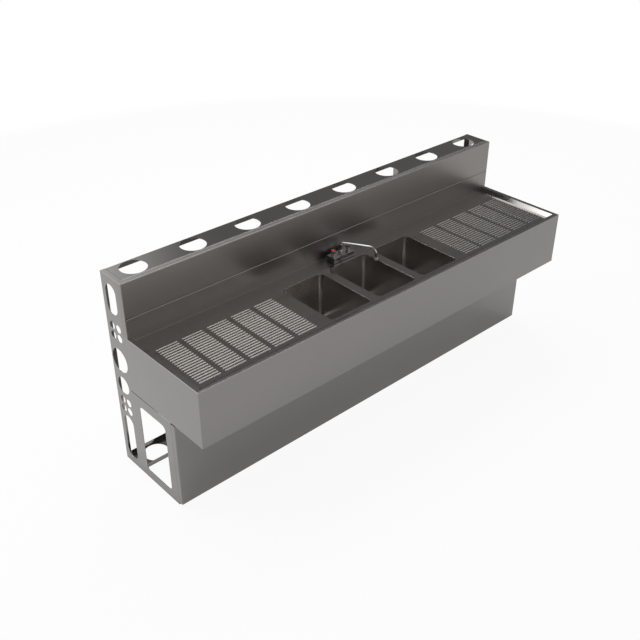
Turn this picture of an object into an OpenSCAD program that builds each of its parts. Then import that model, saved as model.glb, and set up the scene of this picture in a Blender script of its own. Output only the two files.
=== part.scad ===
// Three-bowl bar sink with a utility chase behind it and a drainboard at each end.
// Sizes are in millimetres. The floor is z = 0, x = 0 is the middle of the length,
// y = 0 is the middle of the depth, and the open back faces +Y.
// Depths are given as distances forward of the back face, which y_at() turns into y.

/* [Overall] */
// Length of the unit
unit_l = 2438; // [2300:1:3000]
// Depth from the open back to the front of the apron
unit_d = 683; // [670:1:740]
// Height of the chase top
unit_h = 1044; // [1000:1:1200]
// Height of the rim round the sink top
rim_z = 769; // [750:1:800]
// Thickness of the steel sheet
sheet = 2; // [1.5:0.1:2.5]
// Width of the returns folded in along the edges of the panels
flange = 25; // [20:1:30]
// Outside radius of the folds
fold_r = 3; // [2.8:0.1:4]
// Gap left at a butt seam
seam = 0.3; // [0.1:0.1:0.6]
// Gap left where a piece stops short of an end panel's returns
end_gap = 1.3; // [1.1:0.1:2]

/* [Chase] */
// Depth of the end panels' upright strip and of the two channels
chase_d = 137; // [130:1:145]
// Distance from the back to the backsplash face
riser_d = 165; // [160:1:175]
// Height of the backsplash upturn above the rim
upturn_h = 97; // [70:1:120]
// Number of holes in the top and in the bottom channel
channel_holes = 8; // [4:1:8]
// Radius of the channel holes
channel_hole_r = 62.5; // [50:0.5:63]
// Distance from the end of the unit to the first channel hole
channel_hole_end = 124.5; // [110:0.5:140]
// Distance from the back to the middle of the channel holes
channel_hole_d = 69; // [67:0.5:71]
// Distance from the end of the unit to each bulkhead
bulkhead_end = 623; // [590:1:650]

/* [Chase cut-outs] */
// Distance from the back to the centre line of the cut-outs
cutout_d = 70; // [68:1:72]
// Width of the two long slots
slot_w = 81; // [60:1:90]
// Height of the upper slot
upper_slot_h = 152; // [120:1:160]
// Distance from the chase top to the middle of the upper slot
upper_slot_drop = 114.5; // [110:0.5:120]
// Height of the lower slot
lower_slot_h = 254; // [200:1:260]
// Height of the middle of the lower slot
lower_slot_z = 166; // [160:1:170]
// Radius of the pipe holes
pipe_hole_r = 20; // [14:0.5:22]
// Spacing of the pipe holes
pipe_pitch = 50; // [46:1:54]
// Height of the middle of the upper four pipe holes
upper_pipe_z = 763.5; // [755:0.5:768]
// Height of the middle of the lower four pipe holes
lower_pipe_z = 357; // [350:1:360]
// Radius of the large round hole
large_hole_r = 61; // [50:0.5:62]
// Height of the large round hole
large_hole_z = 610.5; // [605:0.5:615]
// Radius of the small round hole
small_hole_r = 45.5; // [35:0.5:48]
// Height of the small round hole
small_hole_z = 471.5; // [468:0.5:476]

/* [Legs] */
// Distance from the back to the front of the base panel
base_d = 474; // [460:1:490]
// Gap under the base panel
base_gap = 15; // [8:1:25]
// Gap between the base panel and the apron above it
base_top_gap = 8; // [5:1:12]
// Width of the base panel's returns
base_return = 26; // [20:1:30]
// Distance from the back to the window in a leg
window_d = 192; // [180:1:200]
// Width of the window
window_w = 204; // [150:1:220]
// Height of the window's sill above the floor
window_sill = 52; // [40:1:70]
// Steel left above the window
window_head = 54; // [40:1:80]
// Corner radius of the window
window_r = 25; // [10:1:40]

/* [Sink top] */
// Height of the apron
apron_h = 291; // [270:1:300]
// Width of the rim
rim_w = 25; // [20:1:32]
// Width of the slope from the rim down to the deck
rim_slope = 15; // [10:1:18]
// Depth of the deck below the rim
deck_drop = 20; // [15:1:30]
// Radius of the cove between the deck and the backsplash
cove_r = 14; // [8:1:18]
// Distance from the back to the seam between the rear ledge and the deck
ledge_d = 247; // [246:1:249]
// Distance from an outer bowl to the seam between the bowl deck and a drainboard
bowl_side = 41; // [33:1:48]

/* [Drainboards] */
// Number of panels of ribs on each drainboard
rib_panels = 5; // [3:1:5]
// Distance from the bowl deck's seam to the first panel
rib_inset = 41.5; // [30:0.5:50]
// Distance from the last panel to the rim
rib_outset = 33.5; // [25:0.5:45]
// Gap between two panels
rib_gap = 21.5; // [15:0.5:30]
// Number of ribs in a panel
ribs = 19; // [9:1:20]
// Distance from the ledge's seam to the centre line of the first rib
rib_back = 44.5; // [30:0.5:60]
// Distance from the centre line of the last rib to the rim
rib_front = 51.5; // [30:0.5:60]
// Width of a rib
rib_w = 8.5; // [7:0.1:10]
// Height of a rib above the deck
rib_h = 2.5; // [2:0.1:3.5]
// Length of the taper at each end of a rib
rib_taper = 5; // [3:0.5:10]
// Depth of the stiffener's hat section
stiffener_h = 25; // [15:1:35]
// Width of the stiffener's hat section
stiffener_w = 60; // [40:1:80]

/* [Bowls] */
// Inside width of a bowl
bowl_w = 254; // [230:1:256]
// Distance from the ledge's seam to the bowls
bowl_back = 16; // [12:1:24]
// Distance from the bowls to the front rim
bowl_front = 39; // [30:1:48]
// Depth of a bowl below the deck
bowl_h = 254; // [180:1:256]
// Spacing of the bowls
bowl_pitch = 305; // [300:1:308]
// Radius of the bowl's corners
bowl_corner_r = 20; // [12:1:30]
// Width of the lip where the bowl is welded into the deck
bowl_lip = 6; // [5:0.5:8]

/* [Drains] */
// Distance from a bowl's back wall to the middle of its drain
drain_back = 99; // [80:1:115]
// Radius of the drain's flange
drain_flange_r = 41; // [38:0.5:46]
// Radius of the hole for the drain in the bowl
drain_hole_r = 28; // [26:0.5:30]
// Outside radius of the drain's threaded body
drain_body_r = 27; // [25:0.5:27.5]
// Wall of the drain's body
drain_wall = 2.5; // [2:0.1:3]
// Length of the drain's body below the bowl
drain_body_h = 48; // [40:1:60]
// Height of the locknut under the bowl
drain_nut_h = 12; // [8:1:16]
// Radius of the tailpiece
tail_r = 19.05; // [16:0.05:20]
// Wall of the tailpiece
tail_wall = 1.4; // [1:0.1:2]
// Length of the tailpiece
tail_l = 110; // [80:1:140]
// Radius of the holes in the strainer
strainer_hole_r = 3; // [2:0.1:3.5]

/* [Tap] */
// Distance from the back to the middle of the tap
tap_d = 216; // [214:1:217]
// Length of the tap's base
tap_l = 140; // [130:1:160]
// Width of the tap's base
tap_w = 56; // [50:1:58]
// Height of the tap's base
tap_h = 32; // [28:1:36]
// Edge radius of the tap's base
tap_edge_r = 3; // [2:0.5:5]
// Distance between the two handles
tap_centres = 101.6; // [95:0.1:105]
// Radius of a handle
handle_r = 12; // [11:0.5:14]
// Height of a handle
handle_h = 23; // [18:1:28]
// Thickness of the coloured index on a handle
index_h = 5; // [3:0.5:6]
// Radius of a valve stem
stem_r = 4.5; // [3.5:0.1:5.5]
// Radius of a valve bonnet
bonnet_r = 10; // [9:0.5:11.5]
// Height of a valve bonnet
bonnet_h = 6; // [4:0.5:8]
// Radial clearance of the parts that turn
running_gap = 0.08; // [0.03:0.01:0.1]
// Radius of a supply shank
shank_r = 10.3; // [9.5:0.1:11]
// Bore radius of a supply shank
shank_bore_r = 6.5; // [5:0.5:7]
// Length of a supply shank below the deck
shank_l = 55; // [45:1:70]

/* [Spout] */
// Direction of the spout at rest, from straight right
spout_turn = -60; // [-90:1:-30]
// Outside radius of the spout tube
spout_r = 7; // [6:0.5:8]
// Wall of the spout tube
spout_wall = 1.5; // [1:0.1:2]
// Height of the spout's straight run above the tap's base
spout_rise = 57; // [50:1:70]
// Reach of the spout from its swivel
spout_reach = 186; // [160:1:260]
// Centre-line radius of the elbow above the swivel
elbow_r = 13; // [12:1:20]
// Centre-line radius of the bend at the outlet
outlet_bend_r = 38; // [25:1:45]
// Straight drop below the outlet bend
outlet_drop = 22; // [14:1:26]
// Outside radius of the swivel collar
collar_r = 11; // [10:0.5:13]
// Height of the swivel collar
collar_h = 17; // [12:1:22]
// Outside radius of the aerator
aerator_r = 9.5; // [9:0.5:11]
// Height of the aerator
aerator_h = 14; // [10:1:18]

/* [Hidden] */

$fn = 48;
// Overrun of every cut past the face that it opens
over = 1;
half = sheet / 2;
deck_z = rim_z - deck_drop;
deck_under = deck_z - sheet;
apron_z = rim_z - apron_h;
leg_top = apron_z - seam;
splash_z = rim_z + upturn_h;
leg_d = base_d - base_return - end_gap;
bulkhead_d = base_d - base_return - seam;
bulkhead_x = unit_l / 2 - bulkhead_end;
base_top = apron_z - base_top_gap;
window_h = leg_top - window_sill - window_head;
channel_l = unit_l - 2 * flange - 2 * end_gap;
channel_hole_pitch = (unit_l - 2 * channel_hole_end) / (channel_holes - 1);

// Deck between the ledge and the front rim, and what is laid out on it
deck_front = unit_d - rim_w;
deck_foot = deck_front - rim_slope;
deck_l = deck_front - ledge_d;
bowl_l = deck_l - bowl_back - bowl_front;
bowl_d = ledge_d + bowl_back + bowl_l / 2;
bowl_deck_x = bowl_pitch + bowl_w / 2 + bowl_side;
drain_d = ledge_d + bowl_back + drain_back;
board_w = unit_l / 2 - rim_w - bowl_deck_x;
rib_l = (board_w - rib_inset - rib_outset - (rib_panels - 1) * rib_gap) / rib_panels;
rib_pitch = (deck_l - rib_back - rib_front) / (ribs - 1);

// Faces and edges of the bulkheads' gussets, which carry the drainboards
gusset_front_gap = 18;
gusset_d = deck_front - gusset_front_gap;
gusset_nose_h = 60;
gusset_hole_r = 55;
gusset_hole_d = 330;
gusset_hole_z = 615;

// Radius of the ribs' curvature, and the share of it left at their tips
rib_r = (rib_w * rib_w / 4 + rib_h * rib_h) / (2 * rib_h);
rib_tip_share = 0.45;

// Places of the stiffeners, midway between a bulkhead and an end, and the width of their lips
stiffener_x = (bulkhead_x + unit_l / 2) / 2;
stiffener_back_gap = 5;
stiffener_front_gap = 8;
stiffener_lip = 15;

// Small parts of the drain
bowl_floor = deck_z - bowl_h;
drain_flange_t = 2.5;
drain_seat_r = 22;
drain_recess = 3;
strainer_t = 2;
strainer_ring_shares = [0.36, 0.72];
strainer_ring_counts = [6, 10];
nut_gap = 0.3;
drain_nut_wall = 9;
drain_gasket_t = 3;
slip_nut_h = 18;
slip_nut_wall = 6;
slip_nut_lip = 3;
nut_lugs = 6;
lug_out = 3;
lug_w = 8;
tail_collar_h = 3;
tail_neck_h = 4;
tail_neck_cut = 0.2;

// Small parts of the tap
tap_gasket_t = 1.5;
shank_hole_gap = 1.2;
shank_hole_r = shank_r + shank_hole_gap;
shank_thread_cut = 0.2;
shank_thread_end = 1;
stem_sink = 12;
stem_top = 14;
handle_foot_share = 0.82;
handle_waist_share = 0.88;
handle_crown_share = 0.6;
handle_flutes = 8;
handle_flute_r = 2.4;
handle_flute_sink = 1.1;
index_inset = 0.5;
index_dome = 2.5;
collar_skirt_share = 0.55;
aerator_lap = 6;
aerator_chamfer = 1.5;
aerator_screen_z = 2.5;
aerator_holes = 6;
aerator_hole_r = 1.1;
spout_sink = 14;
washer_t = 2;
washer_r = 17;
shank_nut_h = 10;
shank_nut_r = 16;

steel = [0.62, 0.61, 0.59];
deck_steel = [0.45, 0.44, 0.42];
bowl_steel = [0.36, 0.35, 0.33];
bright = [0.85, 0.86, 0.88];
brass = [0.72, 0.60, 0.35];
dark_rubber = [0.12, 0.12, 0.12];
index_red = [0.80, 0.12, 0.12];
index_blue = [0.15, 0.20, 0.75];

// y of a face that lies d forward of the open back
function y_at(d) = unit_d / 2 - d;
// Unit vector from a to b
function way(a, b) = (b - a) / norm(b - a);
function low(a, b) = [min(a.x, b.x), min(a.y, b.y)];
function size_of(v) = [abs(v.x), abs(v.y)];

// Straight stretch of a folded sheet, along one axis
module stretch(a, b) {
    side = [abs(way(a, b).y), abs(way(a, b).x)];
    translate(low(a, b) - half * side)
        square(size_of(b - a) + sheet * side);
}

// Quarter ring that joins two stretches at p, coming along u and leaving along v
module fold(p, u, v, r) {
    centre = p - r * u + r * v;
    translate(centre)
        intersection() {
            difference() {
                circle(r = r + half);
                circle(r = r - half);
            }
            translate(low([0, 0], (r + sheet) * (u - v)))
                square(r + sheet);
        }
}

// Section of a folded sheet whose centre line runs through the points of path,
// with one centre-line radius for each inner point
module folded(path, radii) {
    last = len(path) - 1;
    for (i = [0 : last - 1]) {
        u = way(path[i], path[i + 1]);
        from = i == 0 ? path[i] : path[i] + radii[i - 1] * u;
        to = i == last - 1 ? path[i + 1] : path[i + 1] - radii[i] * u;
        stretch(from, to);
    }
    for (i = [1 : last - 1]) {
        fold(path[i], way(path[i - 1], path[i]), way(path[i], path[i + 1]), radii[i - 1]);
    }
}

fold_c = fold_r - half;

// Sweep along x of a section drawn as distance from the back and height
module sweep_x(from_x, to_x) {
    translate([to_x, unit_d / 2, 0])
        rotate([90, 0, -90])
            linear_extrude(height = to_x - from_x)
                children();
}

// Sweep of a section drawn in x and z between two distances from the back
module sweep_y(from_d, to_d) {
    translate([0, y_at(from_d), 0])
        rotate([90, 0, 0])
            linear_extrude(height = to_d - from_d)
                children();
}

module rounded_rect(w, h, r) {
    for (x = [-1, 1], y = [-1, 1]) {
        translate([x * (w / 2 - r), y * (h / 2 - r)])
            circle(r = r);
    }
    square([w - 2 * r, h], center = true);
    square([w, h - 2 * r], center = true);
}

// Block that stands on z = 0 and has round edges at its top and its uprights
module rounded_slab(w, h, depth, r) {
    linear_extrude(height = depth - r)
        rounded_rect(w, h, r);
    translate([0, 0, depth / 2])
        cube([w - 2 * r, h - 2 * r, depth], center = true);
    for (side = [-1, 1]) {
        translate([0, side * (h / 2 - r), depth - r])
            rotate([0, 90, 0])
                cylinder(r = r, h = w - 2 * r, center = true);
        translate([side * (w / 2 - r), 0, depth - r])
            rotate([90, 0, 0])
                cylinder(r = r, h = h - 2 * r, center = true);
        for (end = [-1, 1]) {
            translate([side * (w / 2 - r), end * (h / 2 - r), depth - r])
                sphere(r = r);
        }
    }
}

// Sheet face w by h with a return along each edge, open below, face at z = depth
module tray(w, h, depth) {
    difference() {
        rounded_slab(w, h, depth, fold_r);
        translate([0, 0, -over])
            rounded_slab(w - 2 * sheet, h - 2 * sheet, depth - sheet + over, fold_r - sheet);
    }
}

// Bar along x with tapered ends
module tapered_bar(length, r) {
    end = length / 2;
    tip_r = rib_tip_share * r;
    rotate([0, 90, 0])
        rotate_extrude()
            polygon([[0, -end], [tip_r, -end], [r, rib_taper - end], [r, end - rib_taper],
                [tip_r, end], [0, end]]);
}

module tube(r, wall, h) {
    difference() {
        cylinder(r = r, h = h);
        translate([0, 0, -over])
            cylinder(r = r - wall, h = h + 2 * over);
    }
}

// Return folded inward from the left end's face, as x and the place across the edge.
// edge is the outer face of the return, and towards is 1 or -1, the way from panel to edge
module return_section(edge, towards) {
    face = half - unit_l / 2;
    line = edge - towards * half;
    folded([[face, edge - towards * (fold_r + sheet)],
            [face, line],
            [face + flange - half, line]], [fold_c]);
}

// Upright return along the edge of the left end panel at distance d from the back
module upright_return(d, towards, from_z, to_z) {
    translate([0, 0, from_z])
        linear_extrude(height = to_z - from_z)
            return_section(y_at(d), towards);
}

// The holes that the end panels and bulkheads share, as distance from the back and height
module chase_cutouts() {
    slots = [[unit_h - upper_slot_drop, upper_slot_h], [lower_slot_z, lower_slot_h]];
    for (slot = slots) {
        straight = slot[1] - slot_w;
        translate([cutout_d, slot[0]]) {
            square([slot_w, straight], center = true);
            for (end = [-1, 1]) {
                translate([0, end * straight / 2])
                    circle(r = slot_w / 2);
            }
        }
    }
    for (x = [-1, 1], y = [-1, 1], z = [upper_pipe_z, lower_pipe_z]) {
        translate([cutout_d + x * pipe_pitch / 2, z + y * pipe_pitch / 2])
            circle(r = pipe_hole_r);
    }
    translate([cutout_d, large_hole_z])
        circle(r = large_hole_r);
    translate([cutout_d, small_hole_z])
        circle(r = small_hole_r);
}

module window() {
    translate([window_d + window_w / 2, window_sill + window_h / 2])
        rounded_rect(window_w, window_h, window_r);
}

// Left end panel
module end_panel() {
    face_x = -unit_l / 2;
    sweep_x(face_x, face_x + sheet)
        difference() {
            union() {
                translate([fold_r, fold_r])
                    square([chase_d - fold_r, unit_h - 2 * fold_r]);
                translate([fold_r, fold_r])
                    square([leg_d - 2 * fold_r, leg_top - 2 * fold_r]);
            }
            chase_cutouts();
            window();
        }
    upright_return(0, 1, sheet, unit_h - sheet);
    upright_return(leg_d, -1, sheet, leg_top - sheet);
    sweep_y(0, chase_d)
        return_section(unit_h, 1);
    sweep_y(chase_d, leg_d)
        return_section(leg_top, 1);
    sweep_y(0, leg_d)
        return_section(0, -1);
}

module end_panel_left() {
    color(steel)
        end_panel();
}

module end_panel_right() {
    color(steel)
        mirror([1, 0, 0])
            end_panel();
}

// Left bulkhead: a plate that ties the two channels and carries the drainboard
module bulkhead() {
    notch = chase_d + fold_r;
    strip_front = chase_d - fold_r - seam;
    sweep_x(-bulkhead_x, sheet - bulkhead_x)
        difference() {
            polygon([[fold_r, sheet + seam], [notch, sheet + seam], [notch, 0],
                [bulkhead_d, 0], [bulkhead_d, leg_top], [gusset_d, deck_under - gusset_nose_h],
                [gusset_d, deck_under - fold_r], [strip_front, deck_under - fold_r],
                [strip_front, unit_h - sheet - seam], [fold_r, unit_h - sheet - seam]]);
            translate([strip_front, -over])
                square([notch - strip_front, flange + fold_r + over]);
            chase_cutouts();
            window();
            translate([gusset_hole_d, gusset_hole_z])
                circle(r = gusset_hole_r);
        }
    translate([unit_l / 2 - bulkhead_x, 0, 0])
        sweep_y(riser_d + cove_r, gusset_d)
            return_section(deck_under, 1);
}

module bulkhead_left() {
    color(steel)
        bulkhead();
}

module bulkhead_right() {
    color(steel)
        mirror([1, 0, 0])
            bulkhead();
}

// Channel with its web on the floor and its holes in the web
module channel() {
    difference() {
        sweep_x(-channel_l / 2, channel_l / 2)
            folded([[half, flange], [half, half], [chase_d - half, half],
                [chase_d - half, flange]], [fold_c, fold_c]);
        for (i = [0 : channel_holes - 1]) {
            translate([(i - (channel_holes - 1) / 2) * channel_hole_pitch,
                y_at(channel_hole_d), -over])
                cylinder(r = channel_hole_r, h = sheet + 2 * over);
        }
    }
}

module bottom_channel() {
    color(steel)
        channel();
}

module top_channel() {
    color(steel)
        translate([0, 0, unit_h])
            mirror([0, 0, 1])
                channel();
}

// Section of the slope from a rim whose flat ends at edge, down to the deck, which lies
// towards it: 1 for rising and -1 for falling coordinates
module slope_section(edge, towards) {
    bend = sheet * (norm([rim_slope, deck_drop]) - rim_slope) / deck_drop;
    foot = edge + towards * rim_slope;
    polygon([[foot, deck_z], [edge, rim_z], [edge - towards * bend, rim_z],
        [edge - towards * bend, rim_z - sheet], [foot - towards * bend, deck_under],
        [foot, deck_under]]);
}

// Space that the slope of the left rim takes, with a seam's width beside it
module slope_space() {
    edge = rim_w + seam - unit_l / 2;
    sweep_y(0, unit_d)
        polygon([[-unit_l, deck_under - over], [edge + rim_slope, deck_under - over],
            [edge + rim_slope, deck_z], [edge, rim_z], [edge, rim_z + seam],
            [-unit_l, rim_z + seam]]);
}

// Tray that stands upright with its face towards the front at distance d from the back
module upright_tray(d, depth, from_z, to_z) {
    translate([0, y_at(d - depth), (from_z + to_z) / 2])
        rotate([90, 0, 0])
            tray(unit_l, to_z - from_z, depth);
}

module riser_panel() {
    color(steel)
        upright_tray(riser_d, riser_d - chase_d - seam, splash_z + seam, unit_h);
}

module base_panel() {
    color(steel)
        upright_tray(base_d, base_return, base_gap, base_top);
}

// Backsplash upturn with its coved foot and the ledge that carries the tap
module backsplash() {
    inner = unit_l / 2 - rim_w;
    face_line = riser_d - half;
    color(deck_steel)
        difference() {
            union() {
                difference() {
                    upright_tray(riser_d, riser_d - chase_d - seam, rim_z - rim_w, splash_z);
                    translate([-unit_l, -unit_d, 0])
                        cube([2 * unit_l, 2 * unit_d, rim_z + seam]);
                }
                sweep_x(-inner, inner)
                    folded([[face_line, rim_z + rim_w], [face_line, deck_z - half],
                        [ledge_d, deck_z - half]], [cove_r + half]);
            }
            slope_space();
            mirror([1, 0, 0])
                slope_space();
            for (side = [-1, 1]) {
                translate([side * tap_centres / 2, y_at(tap_d), deck_under - over])
                    cylinder(r = shank_hole_r, h = sheet + 2 * over);
            }
        }
}

// Width and length of a bowl's lip, and of the deck's cut-out when grown by a seam
function lip_w(grow) = bowl_w + 2 * bowl_lip + 2 * grow;
function lip_l(grow) = bowl_l + 2 * bowl_lip + 2 * grow;

module lip_outline(grow) {
    rounded_rect(lip_w(grow), lip_l(grow), bowl_corner_r + bowl_lip + grow);
}

// Plate of the deck between two places along the unit
module deck_plate(from_x, to_x) {
    translate([from_x, y_at(deck_foot), deck_under])
        cube([to_x - from_x, deck_l - rim_slope - seam, sheet]);
}

module bowl_deck() {
    color(deck_steel)
        difference() {
            deck_plate(-bowl_deck_x, bowl_deck_x);
            for (i = [-1 : 1]) {
                translate([i * bowl_pitch, y_at(bowl_d), deck_under - over])
                    linear_extrude(height = sheet + 2 * over)
                        lip_outline(seam);
            }
        }
}

// A bar at the place of each rib of the left drainboard, at the ribs' centre of curvature
module rib_bars(length, r) {
    first_x = bowl_deck_x + rib_inset + rib_l / 2;
    first_d = ledge_d + rib_back;
    for (panel = [0 : rib_panels - 1], i = [0 : ribs - 1]) {
        translate([-first_x - panel * (rib_l + rib_gap), y_at(first_d + i * rib_pitch),
            deck_z + rib_h - rib_r])
            tapered_bar(length, r);
    }
}

// Left drainboard: a sheet with panels of ribs embossed from below
module drainboard() {
    difference() {
        union() {
            deck_plate(rim_w + rim_slope - unit_l / 2, -bowl_deck_x - seam);
            rib_bars(rib_l, rib_r);
        }
        translate([-unit_l / 2, -unit_d / 2, deck_under - 2 * rib_r])
            cube([unit_l / 2, unit_d, 2 * rib_r]);
        rib_bars(rib_l - 2 * sheet, rib_r - sheet);
    }
}

module drainboard_left() {
    color(deck_steel)
        drainboard();
}

module drainboard_right() {
    color(deck_steel)
        mirror([1, 0, 0])
            drainboard();
}

// Upright wedge beyond the 45 degree line through the front left corner:
// side is 1 for the half towards the end and -1 for the half towards the front
module mitre(side) {
    reach = 2 * rim_w;
    corner = [-unit_l / 2, -unit_d / 2];
    far = side > 0 ? [-over, reach] : [reach, -over];
    translate([0, 0, apron_z - over])
        linear_extrude(height = apron_h + 2 * over)
            polygon([corner - [over, over], corner + far, corner + [reach, reach]]);
}

module front_apron() {
    color(steel)
        difference() {
            union() {
                sweep_x(-unit_l / 2, unit_l / 2)
                    slope_section(deck_front, -1);
                sweep_x(-unit_l / 2, unit_l / 2)
                    folded([[deck_front, rim_z - half], [unit_d - half, rim_z - half],
                        [unit_d - half, apron_z + half], [unit_d - flange, apron_z + half]],
                        [fold_c, fold_c]);
            }
            mitre(1);
            mirror([1, 0, 0])
                mitre(1);
        }
}

module end_apron() {
    inner = rim_w - unit_l / 2;
    outer = half - unit_l / 2;
    difference() {
        sweep_y(chase_d + seam, unit_d) {
            slope_section(inner, 1);
            folded([[inner, rim_z - half], [outer, rim_z - half], [outer, apron_z + half],
                [outer + flange - half, apron_z + half]], [fold_c, fold_c]);
        }
        mitre(-1);
    }
}

module end_apron_left() {
    color(steel)
        end_apron();
}

module end_apron_right() {
    color(steel)
        mirror([1, 0, 0])
            end_apron();
}

// Hat-section stiffener under a drainboard
module stiffener(x) {
    top = deck_under - half;
    bottom = deck_under - stiffener_h + half;
    side = stiffener_w / 2;
    color(steel)
        translate([x, 0, 0])
            sweep_y(riser_d + stiffener_back_gap, deck_front - stiffener_front_gap)
                folded([[-side - stiffener_lip, top], [-side, top], [-side, bottom],
                    [side, bottom], [side, top], [side + stiffener_lip, top]],
                    [fold_c, fold_c, fold_c, fold_c]);
}

module stiffener_left() {
    stiffener(-stiffener_x);
}

module stiffener_right() {
    stiffener(stiffener_x);
}

// Bowl number i from the middle: -1 left, 0 centre, 1 right
module bowl(i) {
    color(bowl_steel)
        translate([i * bowl_pitch, y_at(bowl_d), 0])
            difference() {
                union() {
                    translate([0, 0, deck_under])
                        linear_extrude(height = sheet)
                            lip_outline(0);
                    translate([0, 0, deck_z])
                        mirror([0, 0, 1])
                            rounded_slab(bowl_w + 2 * sheet, bowl_l + 2 * sheet,
                                bowl_h + sheet, bowl_corner_r + sheet);
                }
                translate([0, 0, deck_z + over])
                    mirror([0, 0, 1])
                        rounded_slab(bowl_w, bowl_l, bowl_h + over, bowl_corner_r);
                translate([0, bowl_d - drain_d, bowl_floor - sheet - over])
                    cylinder(r = drain_hole_r, h = sheet + 2 * over);
            }
}

module bowl_left() {
    bowl(-1);
}

module bowl_centre() {
    bowl(0);
}

module bowl_right() {
    bowl(1);
}

// Place of a drain's axis, with z = 0 on the bowl's floor
module at_drain(i) {
    translate([i * bowl_pitch, y_at(drain_d), bowl_floor])
        children();
}

module drain_body(i) {
    color(bright)
        at_drain(i)
            difference() {
                union() {
                    cylinder(r1 = drain_flange_r, r2 = drain_flange_r - drain_flange_t,
                        h = drain_flange_t);
                    translate([0, 0, -drain_body_h])
                        cylinder(r = drain_body_r, h = drain_body_h + drain_flange_t / 2);
                }
                translate([0, 0, -drain_recess])
                    cylinder(r = drain_body_r - drain_wall, h = drain_recess + 2 * drain_flange_t);
                translate([0, 0, -drain_body_h - over])
                    cylinder(r = drain_seat_r, h = drain_body_h + 2 * over);
            }
}

module drain_body_left() {
    drain_body(-1);
}

module drain_body_centre() {
    drain_body(0);
}

module drain_body_right() {
    drain_body(1);
}

// Perforated disc that rests on the shoulder in the drain's body
module strainer(i) {
    r = drain_body_r - drain_wall - nut_gap;
    color(bright)
        at_drain(i)
            translate([0, 0, -drain_recess])
                difference() {
                    cylinder(r = r, h = strainer_t);
                    translate([0, 0, -over])
                        cylinder(r = strainer_hole_r, h = strainer_t + 2 * over);
                    for (ring = [0 : len(strainer_ring_counts) - 1]) {
                        count = strainer_ring_counts[ring];
                        for (hole = [1 : count]) {
                            rotate([0, 0, hole * 360 / count])
                                translate([strainer_ring_shares[ring] * r, 0, -over])
                                    cylinder(r = strainer_hole_r, h = strainer_t + 2 * over);
                        }
                    }
                }
}

module strainer_left() {
    strainer(-1);
}

module strainer_centre() {
    strainer(0);
}

module strainer_right() {
    strainer(1);
}

// The three rubber rings between the bowls and their locknuts
module drain_gaskets() {
    color(dark_rubber)
        for (i = [-1 : 1]) {
            at_drain(i)
                translate([0, 0, -sheet - drain_gasket_t])
                    tube(drain_flange_r, drain_flange_r - drain_body_r - nut_gap, drain_gasket_t);
        }
}

// Round nut with grip lugs round it
module lugged_nut(r, wall, h) {
    difference() {
        union() {
            cylinder(r = r, h = h);
            for (lug = [1 : nut_lugs]) {
                rotate([0, 0, lug * 360 / nut_lugs])
                    translate([r, 0, h / 2])
                        cube([2 * lug_out, lug_w, h], center = true);
            }
        }
        translate([0, 0, -over])
            cylinder(r = r - wall, h = h + 2 * over);
    }
}

module drain_nut(i) {
    color(brass)
        at_drain(i)
            translate([0, 0, -sheet - drain_gasket_t - drain_nut_h])
                lugged_nut(drain_body_r + nut_gap + drain_nut_wall, drain_nut_wall, drain_nut_h);
}

module drain_nut_left() {
    drain_nut(-1);
}

module drain_nut_centre() {
    drain_nut(0);
}

module drain_nut_right() {
    drain_nut(1);
}

// Tailpiece with a neck for the slip nut, which pulls its collar up against the drain's body
module tailpiece(i) {
    color(bright)
        at_drain(i)
            translate([0, 0, -drain_body_h])
                difference() {
                    union() {
                        translate([0, 0, -tail_l])
                            cylinder(r = tail_r, h = tail_l - tail_collar_h - tail_neck_h);
                        translate([0, 0, -tail_collar_h - tail_neck_h])
                            cylinder(r = tail_r - tail_neck_cut, h = tail_neck_h + tail_collar_h);
                        translate([0, 0, -tail_collar_h])
                            cylinder(r = drain_body_r - drain_wall, h = tail_collar_h);
                    }
                    translate([0, 0, -tail_l - over])
                        cylinder(r = tail_r - tail_wall, h = tail_l + 2 * over);
                }
}

module tailpiece_left() {
    tailpiece(-1);
}

module tailpiece_centre() {
    tailpiece(0);
}

module tailpiece_right() {
    tailpiece(1);
}

module slip_nut(i) {
    inner = drain_body_r + nut_gap;
    floor_z = -drain_body_h - tail_collar_h;
    color(brass)
        at_drain(i)
            difference() {
                translate([0, 0, floor_z - slip_nut_lip])
                    lugged_nut(inner + slip_nut_wall, inner + slip_nut_wall - tail_r - nut_gap,
                        slip_nut_h);
                translate([0, 0, floor_z])
                    cylinder(r = inner, h = slip_nut_h);
            }
}

module slip_nut_left() {
    slip_nut(-1);
}

module slip_nut_centre() {
    slip_nut(0);
}

module slip_nut_right() {
    slip_nut(1);
}

// Place of the tap, with z = 0 on the ledge and side -1 hot, 0 spout, 1 cold
module at_tap(side) {
    translate([side * tap_centres / 2, y_at(tap_d), deck_z])
        children();
}

module tap_base() {
    color(bright)
        at_tap(0)
            difference() {
                translate([0, 0, tap_gasket_t])
                    rounded_slab(tap_l, tap_w, tap_h - tap_gasket_t, tap_edge_r);
                translate([0, 0, tap_h - spout_sink])
                    cylinder(r = spout_r + running_gap, h = spout_sink + over);
                for (side = [-1, 1]) {
                    translate([side * tap_centres / 2, 0, tap_h - stem_sink])
                        cylinder(r = stem_r + running_gap, h = stem_sink + over);
                }
            }
}

module tap_gasket() {
    color(dark_rubber)
        at_tap(0)
            linear_extrude(height = tap_gasket_t)
                difference() {
                    rounded_rect(tap_l - tap_edge_r, tap_w - tap_edge_r, tap_edge_r);
                    for (side = [-1, 1]) {
                        translate([side * tap_centres / 2, 0])
                            circle(r = shank_hole_r);
                    }
                }
}

module bonnet(side) {
    color(bright)
        at_tap(side)
            translate([0, 0, tap_h])
                difference() {
                    cylinder(r = bonnet_r, h = bonnet_h, $fn = 6);
                    translate([0, 0, -over])
                        cylinder(r = stem_r + running_gap, h = bonnet_h + 2 * over);
                }
}

module hot_bonnet() {
    bonnet(-1);
}

module cold_bonnet() {
    bonnet(1);
}

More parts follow.
